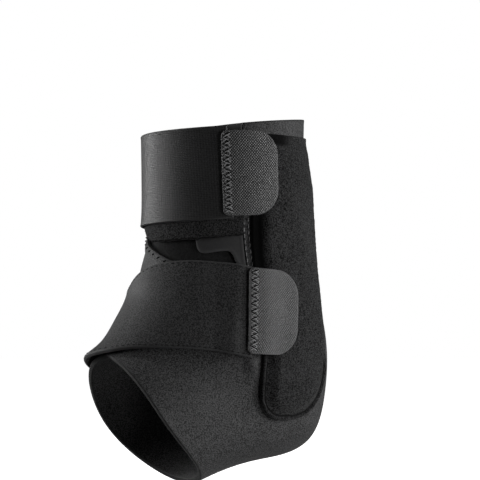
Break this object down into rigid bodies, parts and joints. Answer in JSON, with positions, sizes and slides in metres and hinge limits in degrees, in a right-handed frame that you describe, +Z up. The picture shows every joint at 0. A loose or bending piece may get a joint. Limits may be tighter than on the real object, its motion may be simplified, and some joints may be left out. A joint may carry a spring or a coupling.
{
  "type": "ankle support",
  "caption": "Open-toe ankle support: a slit neoprene boot with side pads, a tongue, a closing flap and hook-ended straps round the leg and over the instep.",
  "frame": {"origin": "middle of the ankle joint that the support is worn on", "axes": "+Z up the leg, -X towards the toes, +Y the inner side of a left foot"},
  "size_m": [0.132, 0.0904, 0.1886],
  "materials": {
    "knit_neoprene": "speckled charcoal knit over foam",
    "smooth_neoprene": "smooth dark jersey over foam",
    "flap_cloth": "smooth dark cloth",
    "loop_pile": "fuzzy brushed loops",
    "ribbed_elastic": "fine-ribbed woven elastic",
    "strap_neoprene": "smooth knit over foam",
    "hook_tape": "woven grey tape, zigzag stitched"
  },
  "bodies": {
    "root": {"boot_shell": "knit_neoprene", "tongue": "smooth_neoprene", "closure_flap": "flap_cloth", "front_loop_band": "loop_pile", "outer_pad": "loop_pile", "inner_pad": "loop_pile", "top_strap": "ribbed_elastic", "top_hook_tab": "hook_tape", "lower_strap": "strap_neoprene", "lower_hook_tab": "hook_tape"}
  },
  "joints": []
}
